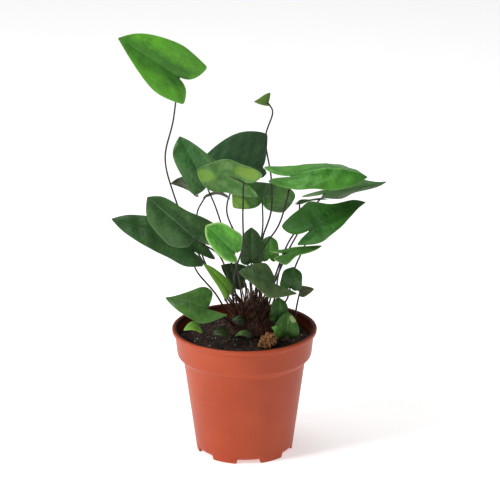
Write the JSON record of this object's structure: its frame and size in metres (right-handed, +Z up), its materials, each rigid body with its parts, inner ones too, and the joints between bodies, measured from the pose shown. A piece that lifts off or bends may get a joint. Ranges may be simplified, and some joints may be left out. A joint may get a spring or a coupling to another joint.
{
  "type": "potted heart fern",
  "caption": "Potted heart fern: glossy heart- and arrow-shaped fronds on thin black stalks from a fibrous crown, in soil in a round tapered plastic nursery pot.",
  "frame": {"origin": "centre of the flat face under the pot, on the surface that the pot stands on", "axes": "+Z up; +X to the right and +Y to the back when the plant is seen from its front"},
  "size_m": [0.1963, 0.1058, 0.3101],
  "materials": {
    "pot_plastic": "satin moulded plastic",
    "soil": "loose potting soil with bark and perlite",
    "crown_fibre": "rough brown fibre",
    "stalk": "wiry, dark, slightly glossy",
    "leaf_young": "glossy young frond",
    "leaf_mature": "satin mature frond",
    "leaf_dark": "satin dark frond",
    "leaf_dry": "dry withered frond"
  },
  "bodies": {
    "root": {"nursery_pot": "pot_plastic", "soil": "soil", "crown": "crown_fibre", "blade_high_left": "leaf_young", "stalk_high_left": "stalk", "blade_bud": "leaf_mature", "stalk_bud": "stalk", "blade_back_dark": "leaf_dark", "stalk_back_dark": "stalk", "blade_left_upright": "leaf_mature", "stalk_left_upright": "stalk", "blade_centre_underside": "leaf_mature", "stalk_centre_underside": "stalk", "blade_left_back": "leaf_dark", "blade_left_inner": "leaf_dark", "stalk_left_inner": "stalk", "blade_centre_back": "leaf_dark", "stalk_centre_back": "stalk", "blade_right_top": "leaf_young", "stalk_right_top": "stalk", "blade_right_thin": "leaf_dark", "stalk_right_thin": "stalk", "blade_right_under": "leaf_dark", "stalk_right_under": "stalk", "blade_right_mid": "leaf_young", "stalk_right_mid": "stalk", "blade_right_curl": "leaf_young", "stalk_right_curl": "stalk", "blade_centre_round": "leaf_young", "blade_front_centre": "leaf_mature", "stalk_front_centre": "stalk", "blade_front_right": "leaf_dark", "stalk_front_right": "stalk", "blade_withered": "leaf_dry", "stalk_withered": "stalk", "blade_left_big": "leaf_dark", "stalk_left_big": "stalk", "blade_left_upper": "leaf_dark", "stalk_left_upper": "stalk", "blade_left_young": "leaf_young", "blade_front_bright": "leaf_young", "stalk_front_bright": "stalk", "blade_left_low": "leaf_mature", "stalk_left_low": "stalk", "blade_low_bright": "leaf_young", "blade_soil_left": "leaf_dark", "blade_soil_front": "leaf_mature", "blade_low_upright": "leaf_dark", "blade_low_heart": "leaf_dark", "blade_low_small": "leaf_young", "blade_centre_dark": "leaf_dark", "stalk_centre_dark": "stalk", "blade_inner_left": "leaf_dark", "stalk_inner_left": "stalk", "blade_inner_low": "leaf_dark"}
  },
  "joints": []
}
